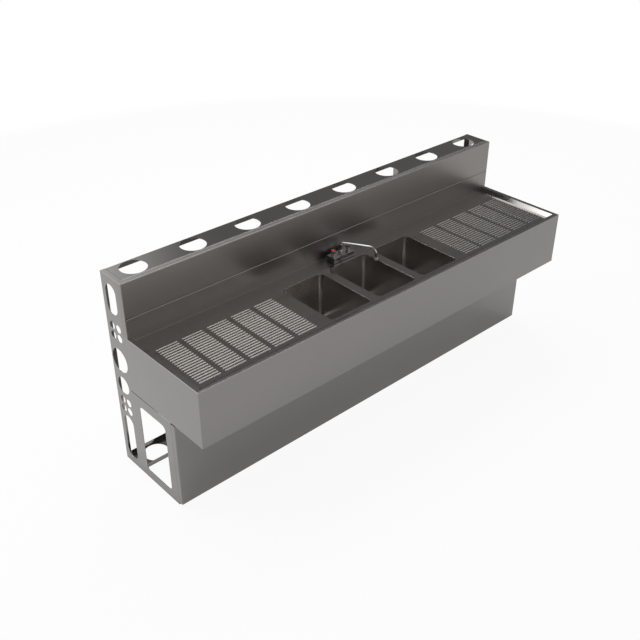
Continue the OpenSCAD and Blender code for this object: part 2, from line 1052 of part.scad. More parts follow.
module stem(side) {
    color(brass)
        at_tap(side)
            translate([0, 0, tap_h - stem_sink + seam])
                cylinder(r = stem_r, h = stem_sink - seam + bonnet_h + seam + stem_top);
}

module hot_stem() {
    stem(-1);
}

module cold_stem() {
    stem(1);
}

module fluted_circle() {
    difference() {
        circle(r = handle_r);
        for (flute = [1 : handle_flutes]) {
            rotate([0, 0, flute * 360 / handle_flutes])
                translate([handle_r + handle_flute_r - handle_flute_sink, 0])
                    circle(r = handle_flute_r);
        }
    }
}

// Handle with a fluted crown on a foot that flares towards it
module handle(side) {
    crown_h = handle_h * handle_crown_share;
    color(bright)
        at_tap(side)
            translate([0, 0, tap_h + bonnet_h + seam])
                difference() {
                    union() {
                        cylinder(r1 = handle_foot_share * handle_r,
                            r2 = handle_waist_share * handle_r, h = handle_h - crown_h);
                        translate([0, 0, handle_h - crown_h])
                            linear_extrude(height = crown_h)
                                fluted_circle();
                    }
                    translate([0, 0, -over])
                        cylinder(r = stem_r + running_gap, h = stem_top + over);
                }
}

module hot_handle() {
    handle(-1);
}

module cold_handle() {
    handle(1);
}

// Coloured cap with a domed top
module index_cap(side) {
    r = handle_r - index_inset;
    dome_r = (r * r + index_dome * index_dome) / (2 * index_dome);
    at_tap(side)
        translate([0, 0, tap_h + bonnet_h + seam + handle_h])
            intersection() {
                cylinder(r = r, h = index_h);
                translate([0, 0, index_h - dome_r])
                    sphere(r = dome_r);
            }
}

module hot_index() {
    color(index_red)
        index_cap(-1);
}

module cold_index() {
    color(index_blue)
        index_cap(1);
}

module spout_collar() {
    color(bright)
        at_tap(0)
            translate([0, 0, tap_h])
                difference() {
                    union() {
                        cylinder(r = collar_r, h = collar_h * collar_skirt_share);
                        translate([0, 0, collar_h * collar_skirt_share])
                            cylinder(r1 = collar_r, r2 = spout_r + spout_wall,
                                h = collar_h * (1 - collar_skirt_share));
                    }
                    translate([0, 0, -over])
                        cylinder(r = spout_r + running_gap, h = collar_h + 2 * over);
                }
}

// Quarter of a bent round bar that starts at the origin going up and ends going along +x
module elbow(bend_r, r) {
    translate([bend_r, 0, 0])
        rotate([90, 0, 0])
            rotate([0, 0, 90])
                rotate_extrude(angle = 90)
                    translate([bend_r, 0])
                        circle(r = r);
}

// The spout's shape as a bar of radius r, which runs past its open ends by extra
module spout_bar(r, extra) {
    run_z = tap_h + spout_rise;
    foot_z = tap_h - spout_sink + seam - extra;
    run_l = spout_reach - elbow_r - outlet_bend_r;
    translate([0, 0, foot_z])
        cylinder(r = r, h = run_z - elbow_r - foot_z);
    translate([0, 0, run_z - elbow_r])
        elbow(elbow_r, r);
    translate([elbow_r, 0, run_z])
        rotate([0, 90, 0])
            cylinder(r = r, h = run_l);
    translate([spout_reach, 0, run_z - outlet_bend_r])
        mirror([1, 0, 0])
            elbow(outlet_bend_r, r);
    translate([spout_reach, 0, run_z - outlet_bend_r - outlet_drop - extra])
        cylinder(r = r, h = outlet_drop + extra);
}

module spout() {
    color(bright)
        at_tap(0)
            rotate([0, 0, spout_turn])
                difference() {
                    spout_bar(spout_r, 0);
                    spout_bar(spout_r - spout_wall, over);
                }
}

// Aerator that the end of the spout plugs into
module aerator() {
    end_z = tap_h + spout_rise - outlet_bend_r - outlet_drop;
    shoulder = aerator_h - aerator_lap;
    color(bright)
        at_tap(0)
            rotate([0, 0, spout_turn])
                translate([spout_reach, 0, end_z - shoulder])
                    difference() {
                        union() {
                            cylinder(r1 = aerator_r - aerator_chamfer, r2 = aerator_r,
                                h = aerator_chamfer);
                            translate([0, 0, aerator_chamfer])
                                cylinder(r = aerator_r, h = aerator_h - 2 * aerator_chamfer);
                            translate([0, 0, aerator_h - aerator_chamfer])
                                cylinder(r1 = aerator_r, r2 = aerator_r - aerator_chamfer,
                                    h = aerator_chamfer);
                        }
                        translate([0, 0, shoulder])
                            cylinder(r = spout_r + running_gap, h = aerator_h);
                        translate([0, 0, -over])
                            cylinder(r = spout_r - spout_wall, h = aerator_screen_z + over);
                        for (hole = [1 : aerator_holes]) {
                            rotate([0, 0, hole * 360 / aerator_holes])
                                translate([spout_r / 2, 0, 0])
                                    cylinder(r = aerator_hole_r, h = aerator_h);
                        }
                    }
}

// Threaded tube that carries one supply through the ledge. Its thread is whole below the
// nut, where the supply's connector goes
module shank(side) {
    foot_z = tap_gasket_t - shank_l;
    thread_top = -sheet - washer_t - shank_nut_h - shank_thread_end;
    color(brass)
        at_tap(side)
            difference() {
                union() {
                    translate([0, 0, foot_z])
                        cylinder(r = shank_r, h = thread_top - foot_z);
                    translate([0, 0, thread_top])
                        cylinder(r = shank_r - shank_thread_cut, h = tap_gasket_t - thread_top);
                }
                translate([0, 0, foot_z - over])
                    cylinder(r = shank_bore_r, h = shank_l + 2 * over);
            }
}

module hot_shank() {
    shank(-1);
}

module cold_shank() {
    shank(1);
}

module shank_washers() {
    color(steel)
        for (side = [-1, 1]) {
            at_tap(side)
                translate([0, 0, -sheet - washer_t])
                    tube(washer_r, washer_r - shank_r - nut_gap, washer_t);
        }
}

module shank_nuts() {
    color(brass)
        for (side = [-1, 1]) {
            at_tap(side)
                translate([0, 0, -sheet - washer_t - shank_nut_h])
                    lugged_nut(shank_nut_r, shank_nut_r - shank_r - nut_gap, shank_nut_h);
        }
}

end_panel_left();
end_panel_right();
bulkhead_left();
bulkhead_right();
top_channel();
bottom_channel();
riser_panel();
backsplash();
bowl_deck();
drainboard_left();
drainboard_right();
front_apron();
end_apron_left();
end_apron_right();
base_panel();
stiffener_left();
stiffener_right();
bowl_left();
bowl_centre();
bowl_right();
drain_body_left();
drain_body_centre();
drain_body_right();
strainer_left();
strainer_centre();
strainer_right();
drain_nut_left();
drain_nut_centre();
drain_nut_right();
tailpiece_left();
tailpiece_centre();
tailpiece_right();
slip_nut_left();
slip_nut_centre();
slip_nut_right();
drain_gaskets();
tap_base();
tap_gasket();
hot_bonnet();
cold_bonnet();
hot_stem();
cold_stem();
hot_handle();
cold_handle();
hot_index();
cold_index();
spout_collar();
spout();
aerator();
hot_shank();
cold_shank();
shank_washers();
shank_nuts();
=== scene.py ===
"""Looks of a three-bowl bar sink with a utility chase: finishes, detail pieces, floor, light and camera."""

import math

import bmesh
import bpy
from mathutils import Euler, Matrix, Vector


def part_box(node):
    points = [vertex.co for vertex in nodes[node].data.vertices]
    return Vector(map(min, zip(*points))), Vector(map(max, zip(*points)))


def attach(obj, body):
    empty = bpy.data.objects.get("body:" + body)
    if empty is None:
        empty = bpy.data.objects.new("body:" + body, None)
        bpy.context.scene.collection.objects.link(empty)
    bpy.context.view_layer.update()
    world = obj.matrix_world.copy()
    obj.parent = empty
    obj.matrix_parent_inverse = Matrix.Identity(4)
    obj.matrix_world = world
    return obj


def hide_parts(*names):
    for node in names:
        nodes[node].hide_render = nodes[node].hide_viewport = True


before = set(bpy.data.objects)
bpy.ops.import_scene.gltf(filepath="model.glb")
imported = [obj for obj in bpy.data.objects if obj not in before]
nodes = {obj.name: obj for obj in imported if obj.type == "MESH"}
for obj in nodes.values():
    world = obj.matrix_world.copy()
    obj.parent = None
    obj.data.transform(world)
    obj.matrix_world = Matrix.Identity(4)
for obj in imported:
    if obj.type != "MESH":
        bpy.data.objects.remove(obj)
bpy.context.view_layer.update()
scene = bpy.context.scene


# Camera, solved from the photograph: angles in degrees, place in metres
CAMERA_AZIMUTH = -42.3767
CAMERA_ELEVATION = 32.3763
CAMERA_ROLL = 0.1643
CAMERA_PLACE = (-2.751689, -2.737920, 2.893617)
CAMERA_FOCAL_PX = 885.521
PHOTO_PX = 640
SENSOR_MM = 36.0
CAMERA_REACH = 100.0


def make_camera():
    data = bpy.data.cameras.new("camera")
    data.sensor_fit = "HORIZONTAL"
    data.sensor_width = SENSOR_MM
    data.lens = CAMERA_FOCAL_PX / PHOTO_PX * SENSOR_MM
    data.clip_end = CAMERA_REACH
    camera = bpy.data.objects.new("camera", data)
    scene.collection.objects.link(camera)
    turn = Euler((math.radians(90 - CAMERA_ELEVATION), 0, math.radians(CAMERA_AZIMUTH)))
    roll = Matrix.Rotation(math.radians(CAMERA_ROLL), 4, "Z")
    camera.matrix_world = Matrix.Translation(CAMERA_PLACE) @ turn.to_matrix().to_4x4() @ roll
    scene.camera = camera


def new_material(name):
    material = bpy.data.materials.new(name)
    material.use_nodes = True
    tree = material.node_tree
    tree.nodes.clear()
    output = tree.nodes.new("ShaderNodeOutputMaterial")
    shader = tree.nodes.new("ShaderNodeBsdfPrincipled")
    tree.links.new(shader.outputs["BSDF"], output.inputs["Surface"])
    return material, tree, shader


def place_in_metres(tree, stretch):
    """Object coordinates scaled by stretch, so that a large value gives fine detail along that axis."""
    coords = tree.nodes.new("ShaderNodeTexCoord")
    mapping = tree.nodes.new("ShaderNodeMapping")
    mapping.inputs["Scale"].default_value = stretch
    tree.links.new(coords.outputs["Object"], mapping.inputs["Vector"])
    return mapping.outputs["Vector"]


def noise(tree, vector, scale, detail=3.0, roughness=0.55):
    node = tree.nodes.new("ShaderNodeTexNoise")
    node.inputs["Scale"].default_value = scale
    node.inputs["Detail"].default_value = detail
    node.inputs["Roughness"].default_value = roughness
    tree.links.new(vector, node.inputs["Vector"])
    return node.outputs["Fac"]


def spread(tree, value, low, high, from_low=0.3, from_high=0.7):
    """Maps a noise value onto a range."""
    node = tree.nodes.new("ShaderNodeMapRange")
    node.inputs["From Min"].default_value = from_low
    node.inputs["From Max"].default_value = from_high
    node.inputs["To Min"].default_value = low
    node.inputs["To Max"].default_value = high
    tree.links.new(value, node.inputs["Value"])
    return node.outputs["Result"]


def mix_colours(tree, factor, low, high):
    node = tree.nodes.new("ShaderNodeMix")
    node.data_type = "RGBA"
    node.inputs["A"].default_value = (*low, 1)
    node.inputs["B"].default_value = (*high, 1)
    tree.links.new(factor, node.inputs["Factor"])
    return node.outputs["Result"]


def math_node(tree, operation, *values):
    """The value of one operation on numbers and sockets."""
    node = tree.nodes.new("ShaderNodeMath")
    node.operation = operation
    for socket, value in zip(node.inputs, values):
        if isinstance(value, (int, float)):
            socket.default_value = value
        else:
            tree.links.new(value, socket)
    return node.outputs["Value"]


def multiply(tree, a, b):
    return math_node(tree, "MULTIPLY", a, b)


def add(tree, a, b):
    return math_node(tree, "ADD", a, b)


def larger(tree, a, b):
    return math_node(tree, "MAXIMUM", a, b)


def ramp(tree, value, span):
    """0 at the first end of span, 1 at the second and smooth between, where the first may be the larger."""
    node = tree.nodes.new("ShaderNodeMapRange")
    node.interpolation_type = "SMOOTHSTEP"
    node.inputs["From Min"].default_value, node.inputs["From Max"].default_value = span
    tree.links.new(value, node.inputs["Value"])
    return node.outputs["Result"]


# Grain runs along one axis: the noise is stretched a hundred times that way
GRAIN_ALONG = 9.0
GRAIN_ACROSS = 900.0
X_GRAIN, Z_GRAIN = 0, 2
GRAIN_DEPTH = 0.000008
GRAIN_STRENGTH = 0.3
GRAIN_LOW = 0.7
GRAIN_ROUGH = (0.96, 1.04)
PATCH_SCALE = 2.2
PATCH_LOW = 0.6
SMEAR_SCALE = 9.0
SMEAR_ROUGH = (0.97, 1.03)
STEEL_DARK_SHARE = 0.94
STEEL_LIGHT_SHARE = 1.05
UNSTRETCHED = (1, 1, 1)


def grain_stretch(axis):
    return tuple(GRAIN_ALONG if i == axis else GRAIN_ACROSS for i in range(3))


def steel(name, colour, roughness, grain_axis, grain_depth=GRAIN_DEPTH):
    """Brushed stainless steel: fine grain along one axis, faint smears and broad rubbed patches."""
    material, tree, shader = new_material(name)
    grain = noise(tree, place_in_metres(tree, grain_stretch(grain_axis)), 1.0, detail=4.0, roughness=0.6)
    patches = noise(tree, place_in_metres(tree, UNSTRETCHED), PATCH_SCALE, detail=2.0)
    smears = noise(tree, place_in_metres(tree, UNSTRETCHED), SMEAR_SCALE, detail=4.0, roughness=0.6)
    dark = tuple(STEEL_DARK_SHARE * c for c in colour)
    light = tuple(min(1.0, STEEL_LIGHT_SHARE * c) for c in colour)
    factor = multiply(tree, spread(tree, grain, GRAIN_LOW, 1.0), spread(tree, patches, PATCH_LOW, 1.0))
    tree.links.new(mix_colours(tree, factor, dark, light), shader.inputs["Base Color"])
    grain_rough = spread(tree, grain, *(share * roughness for share in GRAIN_ROUGH))
    smear_rough = spread(tree, smears, *SMEAR_ROUGH)
    tree.links.new(multiply(tree, smear_rough, grain_rough), shader.inputs["Roughness"])
    shader.inputs["Metallic"].default_value = 1.0
    bump = tree.nodes.new("ShaderNodeBump")
    bump.inputs["Strength"].default_value = GRAIN_STRENGTH
    bump.inputs["Distance"].default_value = grain_depth
    tree.links.new(grain, bump.inputs["Height"])
    tree.links.new(bump.outputs["Normal"], shader.inputs["Normal"])
    return material


MOTTLE_SCALE = 300.0
SCUFF_SCALE = 1800.0
PLASTIC_DARK_SHARE = 0.85
PLASTIC_ROUGH = (0.14, 0.26)


def glossy_plastic(name, colour):
    """Moulded plastic with a soft mottle and fine scuffs."""
    material, tree, shader = new_material(name)
    mottle = noise(tree, place_in_metres(tree, UNSTRETCHED), MOTTLE_SCALE)
    scuffs = noise(tree, place_in_metres(tree, UNSTRETCHED), SCUFF_SCALE, detail=4.0)
    dark = tuple(PLASTIC_DARK_SHARE * c for c in colour)
    mottled = mix_colours(tree, spread(tree, mottle, 0.0, 1.0), dark, colour)
    tree.links.new(mottled, shader.inputs["Base Color"])
    tree.links.new(spread(tree, scuffs, *PLASTIC_ROUGH), shader.inputs["Roughness"])
    return material


RUBBER_SCALE = 1200.0
RUBBER_LIGHT_SHARE = 1.6
RUBBER_ROUGH = (0.6, 0.85)


def rubber(name, colour):
    material, tree, shader = new_material(name)
    grain = noise(tree, place_in_metres(tree, UNSTRETCHED), RUBBER_SCALE, detail=4.0)
    light = tuple(RUBBER_LIGHT_SHARE * c for c in colour)
    mottled = mix_colours(tree, spread(tree, grain, 0.0, 1.0), colour, light)
    tree.links.new(mottled, shader.inputs["Base Color"])
    tree.links.new(spread(tree, grain, *RUBBER_ROUGH), shader.inputs["Roughness"])
    return material


# Colours fitted to the photograph under this scene's light. The sheets' steels are darker than the real metal
FRAME_STEEL = steel("frame_steel", (0.290, 0.280, 0.270), 0.15, Z_GRAIN, 0.000003)
PANEL_STEEL = steel("panel_steel", (0.280, 0.270, 0.260), 0.17, X_GRAIN, 0.000003)
SPLASH_STEEL = steel("splash_steel", (0.298, 0.285, 0.270), 0.35, X_GRAIN, 0.000001)
DECK_STEEL = steel("deck_steel", (0.300, 0.288, 0.272), 0.12, X_GRAIN, 0.0000015)
BOWL_STEEL = steel("bowl_steel", (0.530, 0.508, 0.490), 0.24, Z_GRAIN, 0.000003)
CHROME = steel("chrome", (0.52, 0.52, 0.53), 0.07, X_GRAIN, 0.0000003)
# Aerator: a rougher satin chrome, and painted paler than the chrome to stand in for light on it
LIT_SATIN_CHROME = steel("satin_chrome_painted_light", (0.74, 0.74, 0.74), 0.34, X_GRAIN, 0.0000003)
# Tap base: the same chrome as the handles, painted darker to stand in for shade on the base
SHADED_BODY_CHROME = steel("painted_shade_body_chrome", (0.38, 0.38, 0.39), 0.05, X_GRAIN, 0.0000003)
BRASS = steel("brass", (0.60, 0.43, 0.20), 0.32, Z_GRAIN)
RED = glossy_plastic("red_cap", (0.88, 0.06, 0.065))
BLUE = glossy_plastic("blue_cap", (0.02, 0.03, 0.36))
RUBBER = rubber("seals", (0.02, 0.02, 0.02))

SMOOTH_ANGLE = math.radians(40)
FOLD_ANGLE = math.radians(25)
MERGE = 1e-6
FLAT_FACE_WEIGHT = 100


def finish_piece(name, tidy, material, body, angle=SMOOTH_ANGLE):
    """Turns an edited mesh into a smooth-shaded piece that rides on a body, with crisp free edges."""
    tidy.edges.index_update()
    free_edges = [edge.index for edge in tidy.edges if edge.is_boundary]
    mesh = bpy.data.meshes.new(name)
    tidy.to_mesh(mesh)
    tidy.free()
    mesh.materials.append(material)
    mesh.shade_smooth()
    mesh.set_sharp_from_angle(angle=angle)
    sharp = mesh.attributes.get("sharp_edge") or mesh.attributes.new("sharp_edge", "BOOLEAN", "EDGE")
    for index in free_edges:
        sharp.data[index].value = True
    piece = bpy.data.objects.new(name, mesh)
    scene.collection.objects.link(piece)
    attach(piece, body)
    even_normals(piece)
    return piece


def even_normals(piece):
    """Keeps large faces flat beside small round edges."""
    even = piece.modifiers.new("even", "WEIGHTED_NORMAL")
    even.weight = FLAT_FACE_WEIGHT
    even.keep_sharp = True


def mesh_piece(name, verts, faces, material, body, open_up=False):
    """A piece from vertices and faces. An open sheet has its faces turned so that its floor looks up."""
    mesh = bpy.data.meshes.new("draft")
    mesh.from_pydata([tuple(v) for v in verts], [], faces)
    tidy = bmesh.new()
    tidy.from_mesh(mesh)
    bpy.data.meshes.remove(mesh)
    bmesh.ops.remove_doubles(tidy, verts=tidy.verts, dist=MERGE)
    bmesh.ops.recalc_face_normals(tidy, faces=tidy.faces)
    if open_up:
        face_up(tidy)
    return finish_piece(name, tidy, material, body)


def face_up(tidy):
    tidy.normal_update()
    if sum(face.normal.z * face.calc_area() for face in tidy.faces) < 0:
        bmesh.ops.reverse_faces(tidy, faces=tidy.faces)


def arc(centre, radius, start, end, steps):
    """Points on a circle from one angle to another, in degrees."""
    points = []
    for i in range(steps + 1):
        a = math.radians(start + (end - start) * i / steps)
        points.append((centre[0] + radius * math.cos(a), centre[1] + radius * math.sin(a)))
    return points


def skin_loops(loops, cap_ends=False):
    """Joins closed loops of points, one to the next, and optionally closes the first and the last."""
    count = len(loops[0])
    verts = [point for loop in loops for point in loop]
    faces = []
    for i in range(len(loops) - 1):
        for k in range(count):
            n = (k + 1) % count
            faces.append((i * count + k, i * count + n, (i + 1) * count + n, (i + 1) * count + k))
    if cap_ends:
        last = (len(loops) - 1) * count
        faces.append(tuple(range(count)))
        faces.append(tuple(range(last, last + count)))
    return verts, faces


def turned_loops(profile, origin, segments=64, edge=None):
    """Loops of a profile of (radius, height) points about a vertical axis.

    A function edge(angle, radius, height) may shape them.
    """
    loops = []
    for radius, height in profile:
        loop = []
        for k in range(segments):
            a = 2 * math.pi * k / segments
            r = edge(a, radius, height) if edge else radius
            loop.append((origin[0] + r * math.cos(a), origin[1] + r * math.sin(a), origin[2] + height))
        loops.append(loop)
    return loops


def rounded_loop(half_x, half_y, radius, centre, height, steps=6):
    """Points round a rectangle with round corners, anticlockwise from the rear end of the right edge."""
    corners = ((1, 1, 0), (-1, 1, 90), (-1, -1, 180), (1, -1, 270))
    points = []
    for sx, sy, start in corners:
        place = (centre[0] + sx * (half_x - radius), centre[1] + sy * (half_y - radius))
        for x, y in arc(place, radius, start, start + 90, steps):
            points.append((x, y, height))
    return points


def circle_like(loop, centre, radius, height):
    """A ring of radius round centre with one point for each point of loop, in the same directions."""
    ring = []
    for x, y, _ in loop:
        a = math.atan2(y - centre[1], x - centre[0])
        ring.append((centre[0] + radius * math.cos(a), centre[1] + radius * math.sin(a), height))
    return ring


def thicken(piece, thickness):
    """Gives an open sheet its thickness, behind the side that its faces look to."""
    shell = piece.modifiers.new("sheet", "SOLIDIFY")
    shell.thickness = thickness
    shell.offset = -1
    shell.use_even_offset = True
    piece.modifiers.move(len(piece.modifiers) - 1, 0)


def middle(low, high):
    return ((low.x + high.x) / 2, (low.y + high.y) / 2)


# Sheet and bowl sizes in metres; places come from the frame
SHEET = 0.002
SEAM = 0.0003
LIP = 0.006
BOWL_EDGE_R = 0.0004
BOWL_FOOT_R = 0.020
BOWL_CORNER_R = 0.020
BOWL_LEAST_R = 0.004
BOWL_DRAFT = 0.0015
BOWL_SLOPE = 0.004
DRAIN_HOLE_R = 0.028
DRAIN_DISH_R = 0.052
DRAIN_DISH_RISE = 0.001
DRAIN_RIM = 0.008
BOWL_FOOT_ARC = 80


def make_bowl(name, drain):
    """Deep-drawn bowl: rolled top edge, slight draft, coved foot and a bottom that falls to the drain."""
    low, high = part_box(name)
    centre = middle(low, high)
    half_x = (high.x - low.x) / 2 - LIP
    half_y = (high.y - low.y) / 2 - LIP
    top = high.z
    floor_z = low.z + SHEET
    drain_place = middle(*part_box(drain))
    loops = [rounded_loop(half_x + LIP, half_y + LIP, BOWL_CORNER_R + LIP, centre, top)]
    for out, up in arc((BOWL_EDGE_R, -BOWL_EDGE_R), BOWL_EDGE_R, 90, 180, 5):
        loops.append(rounded_loop(half_x + out, half_y + out, BOWL_CORNER_R + out, centre, top + up))
    lip_verts, lip_faces = skin_loops(loops[:2])
    lip = mesh_piece("lip_" + name, lip_verts, lip_faces, DECK_STEEL, "root", open_up=True)
    thicken(lip, SHEET)
    del loops[0]
    foot_z = floor_z + BOWL_SLOPE + BOWL_FOOT_R
    for out, up in arc((-BOWL_DRAFT - BOWL_FOOT_R, 0), BOWL_FOOT_R, 0, -BOWL_FOOT_ARC, 7):
        radius = max(BOWL_CORNER_R + out, BOWL_LEAST_R)
        loops.append(rounded_loop(half_x + out, half_y + out, radius, centre, foot_z + up))
    loops.append(circle_like(loops[-1], drain_place, DRAIN_DISH_R, floor_z + DRAIN_DISH_RISE))
    loops.append(circle_like(loops[-2], drain_place, DRAIN_HOLE_R + DRAIN_RIM, floor_z))
    loops.append(circle_like(loops[-3], drain_place, DRAIN_HOLE_R, floor_z))
    verts, faces = skin_loops(loops)
    piece = mesh_piece("shaped_" + name, verts, faces, BOWL_STEEL, "root", open_up=True)
    thicken(piece, SHEET)
    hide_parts(name)


# The backsplash is bent more tightly at its foot than its solid, and its ends follow the slopes of the rims
COVE_R = 0.014
BEND_R = 0.001
SLOPE_RUN = 0.75
FOOT_END = 0.001


def sheet_of(name):
    """The folded sheet of a node as an editable mesh in the world's frame."""
    source = nodes[name]
    tidy = bmesh.new()
    tidy.from_mesh(source.data)
    bmesh.ops.transform(tidy, matrix=source.matrix_world, verts=tidy.verts)
    bmesh.ops.remove_doubles(tidy, verts=tidy.verts, dist=MERGE)
    return tidy


def make_sheet(name, material):
    """A folded sheet with flat faces and crisp bends."""
    piece = finish_piece("shaped_" + name, sheet_of(name), material, "root", FOLD_ANGLE)
    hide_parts(name)


def make_backsplash():
    """The backsplash sheet with its foot bent to a small radius, between the slopes at both ends."""
    low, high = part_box("backsplash")
    deck_low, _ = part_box("drainboard_left")
    deck_z = deck_low.z + SHEET
    face_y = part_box("riser_panel")[0].y
    foot_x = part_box("drainboard_right")[1].x
    old = Vector((face_y - COVE_R, deck_z + COVE_R))
    new = Vector((face_y - BEND_R, deck_z + BEND_R))
    tidy = sheet_of("backsplash")
    for vert in tidy.verts:
        arm = Vector((vert.co.y, vert.co.z)) - old
        if arm.x < -MERGE or arm.y > MERGE or arm.length > COVE_R + 2 * SHEET:
            continue
        place = new + arm.normalized() * (arm.length - COVE_R + BEND_R)
        vert.co.y, vert.co.z = place
        if abs(vert.co.x) > foot_x - FOOT_END:
            reach = foot_x + max(0.0, vert.co.z - deck_z) * SLOPE_RUN
            vert.co.x = math.copysign(reach, vert.co.x)
    piece = finish_piece("shaped_backsplash", tidy, SPLASH_STEEL, "root", FOLD_ANGLE)
    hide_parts("backsplash")


# Ribs of the drainboards: their layout from the seams, and their section
RIB_PANELS = 5
RIBS = 19
RIB_L = 0.112
RIB_GAP = 0.0215
RIB_PITCH = 0.0175
RIB_HALF_W = 0.00425
RIB_H = 0.0025
RIB_INSET = 0.0415
RIB_BACK = 0.0445
RIB_FOOT_R = 0.0008
RIB_LEAN = 58
RIB_CROWN_R = 0.0049
RIB_CROWN_SHARE = 0.88
RIB_FLAT = 0.0006


def rib_section():
    """Points (distance from the rib's middle line, height) from the flat deck up to the crest."""
    crown_z = RIB_H - RIB_CROWN_R
    edge_x = RIB_HALF_W - RIB_FOOT_R
    edge_lean = math.degrees(math.asin(RIB_CROWN_SHARE * edge_x / RIB_CROWN_R))
    points = [(RIB_HALF_W + RIB_FLAT, 0)]
    points += arc((RIB_HALF_W, RIB_FOOT_R), RIB_FOOT_R, -90, -90 - RIB_LEAN, 3)
    points += arc((0, crown_z), RIB_CROWN_R, 90 - edge_lean, 90, 7)
    return points


def race_track(half_l, half_w, centre, height, steps=7):
    """Points round a straight slot shape with round ends, along x."""
    points = []
    for sign, start in ((1, -90), (-1, 90)):
        for x, y in arc((centre[0] + sign * half_l, centre[1]), half_w, start, start + 180, steps):
            points.append((x, y, height))
    return points


def loop_of_verts(tidy, points):
    verts = [tidy.verts.new(point) for point in points]
    return verts, [tidy.edges.new((verts[k - 1], verts[k])) for k in range(len(verts))]


def make_drainboard(name, away):
    """Ribbed drainboard: a flat sheet with round-ended ribs pressed up from below."""
    low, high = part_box(name)
    top = low.z + SHEET
    corners = [(low.x, low.y, top), (high.x, low.y, top), (high.x, high.y, top), (low.x, high.y, top)]
    seam_x = (low.x if away > 0 else high.x) - away * SEAM
    first_x = seam_x + away * (RIB_INSET + RIB_L / 2)
    first_y = high.y + SEAM - RIB_BACK
    section = rib_section()
    tidy = bmesh.new()
    _, edges = loop_of_verts(tidy, corners)
    for panel in range(RIB_PANELS):
        for rib in range(RIBS):
            centre = (first_x + away * panel * (RIB_L + RIB_GAP), first_y - rib * RIB_PITCH)
            below = None
            for half_w, height in section:
                points = race_track(RIB_L / 2 - RIB_HALF_W, half_w, centre, top + height)
                verts, ring = loop_of_verts(tidy, points)
                if below:
                    for k in range(len(verts)):
                        tidy.faces.new((below[k - 1], below[k], verts[k], verts[k - 1]))
                else:
                    edges += ring
                below = verts
    bmesh.ops.triangle_fill(tidy, use_beauty=True, edges=edges)
    bmesh.ops.remove_doubles(tidy, verts=tidy.verts, dist=MERGE)
    bmesh.ops.recalc_face_normals(tidy, faces=tidy.faces)
    face_up(tidy)
    piece = finish_piece("shaped_" + name, tidy, DECK_STEEL, "root")
    thicken(piece, SHEET)
    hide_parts(name)


BASE_PLAN_R = 0.004
BASE_LEAST_R = 0.0012
BASE_EDGE_R = 0.0025
BASE_FOOT_R = 0.0008


def make_tap_base():
    """Body of the tap: an oblong block with round corners and a soft top edge."""
    low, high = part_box("tap_base")
    centre = middle(low, high)
    half_x = (high.x - low.x) / 2
    half_y = (high.y - low.y) / 2
    foot = (half_x - BASE_FOOT_R, half_y - BASE_FOOT_R, BASE_PLAN_R - BASE_FOOT_R)
    loops = [rounded_loop(*foot, centre, low.z)]
    loops.append(rounded_loop(half_x, half_y, BASE_PLAN_R, centre, low.z + BASE_FOOT_R))
    for out, up in arc((-BASE_EDGE_R, -BASE_EDGE_R), BASE_EDGE_R, 0, 90, 6):
        radius = max(BASE_PLAN_R + out, BASE_LEAST_R)
        loops.append(rounded_loop(half_x + out, half_y + out, radius, centre, high.z + up))
    verts, faces = skin_loops(loops, cap_ends=True)
    piece = mesh_piece("shaped_tap_base", verts, faces, SHADED_BODY_CHROME, "root")
    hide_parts("tap_base")


# Handles: the crown's edges are (distance in from its radius, distance from its lower or upper face)
FLUTES = 8
FLUTE_R = 0.0024
FLUTE_SINK = 0.0011
HANDLE_R = 0.012
HANDLE_FOOT_SHARE = 0.82
HANDLE_WAIST_SHARE = 0.88
HANDLE_FOOT_EDGE = 0.0004
HANDLE_CROWN_Z = 0.0092
CROWN_LOWER_EDGE = ((0.0008, 0.0002), (0, 0.0010))
CROWN_UPPER_EDGE = ((0, 0.0014), (0.0004, 0.0005), (0.0013, 0))
FLUTE_START = 0.0004
HANDLE_SIDES = 128


def fluted(angle, radius, height):
    """Radius of the handle's crown where a flute may cut into it."""
    if height < HANDLE_CROWN_Z + FLUTE_START:
        return radius
    place = HANDLE_R + FLUTE_R - FLUTE_SINK
    step = 2 * math.pi / FLUTES
    a = (angle + step / 2) % step - step / 2
    inside = FLUTE_R ** 2 - (place * math.sin(a)) ** 2
    if inside <= 0:
        return radius
    return min(radius, place * math.cos(a) - math.sqrt(inside))


def make_handle(side, body):
    """Round handle: a narrow foot and waist below a wider crown, with flutes round the crown."""
    low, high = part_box(side + "_handle")
    tall = high.z - low.z
    foot = HANDLE_R * HANDLE_FOOT_SHARE
    waist = HANDLE_R * HANDLE_WAIST_SHARE
    profile = [(foot - HANDLE_FOOT_EDGE, 0), (foot, HANDLE_FOOT_EDGE), (waist, HANDLE_CROWN_Z)]
    profile += [(HANDLE_R - inward, HANDLE_CROWN_Z + up) for inward, up in CROWN_LOWER_EDGE]
    profile += [(HANDLE_R - inward, tall - down) for inward, down in CROWN_UPPER_EDGE]
    loops = turned_loops(profile, (*middle(low, high), low.z), HANDLE_SIDES, fluted)
    verts, faces = skin_loops(loops, cap_ends=True)
    piece = mesh_piece("shaped_" + side + "_handle", verts, faces, CHROME, body)
    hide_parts(side + "_handle")


INDEX_RIM_SHARE = 0.45
INDEX_INSET = 0.0002
INDEX_FOOT_INSET = 0.0005
INDEX_FOOT_EDGE = 0.0004
INDEX_STEPS = 9


